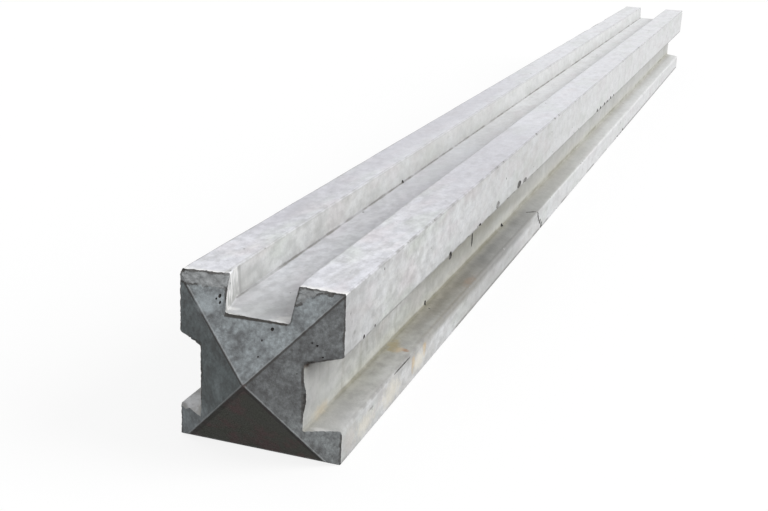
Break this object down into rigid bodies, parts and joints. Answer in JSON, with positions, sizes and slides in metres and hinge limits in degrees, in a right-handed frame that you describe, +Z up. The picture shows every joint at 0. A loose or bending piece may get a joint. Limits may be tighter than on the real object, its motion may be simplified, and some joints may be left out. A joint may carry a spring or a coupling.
{
  "type": "concrete fence post",
  "caption": "Square cast concrete fence post, lying on its flat back, with tapered panel slots along the other faces and a shallow four-sided weathered point at the head.",
  "frame": {"origin": "middle of the length and width, on the flat back that the post lies on", "axes": "+Y along the post from the weathered point to the foot, +Z up from the flat back to the face with the top slot, +X to the right seen from the head"},
  "size_m": [0.125, 2.13, 0.128],
  "materials": {
    "concrete": "pale cement grey, matt, as cast"
  },
  "bodies": {
    "root": {"post": "concrete"}
  },
  "joints": []
}
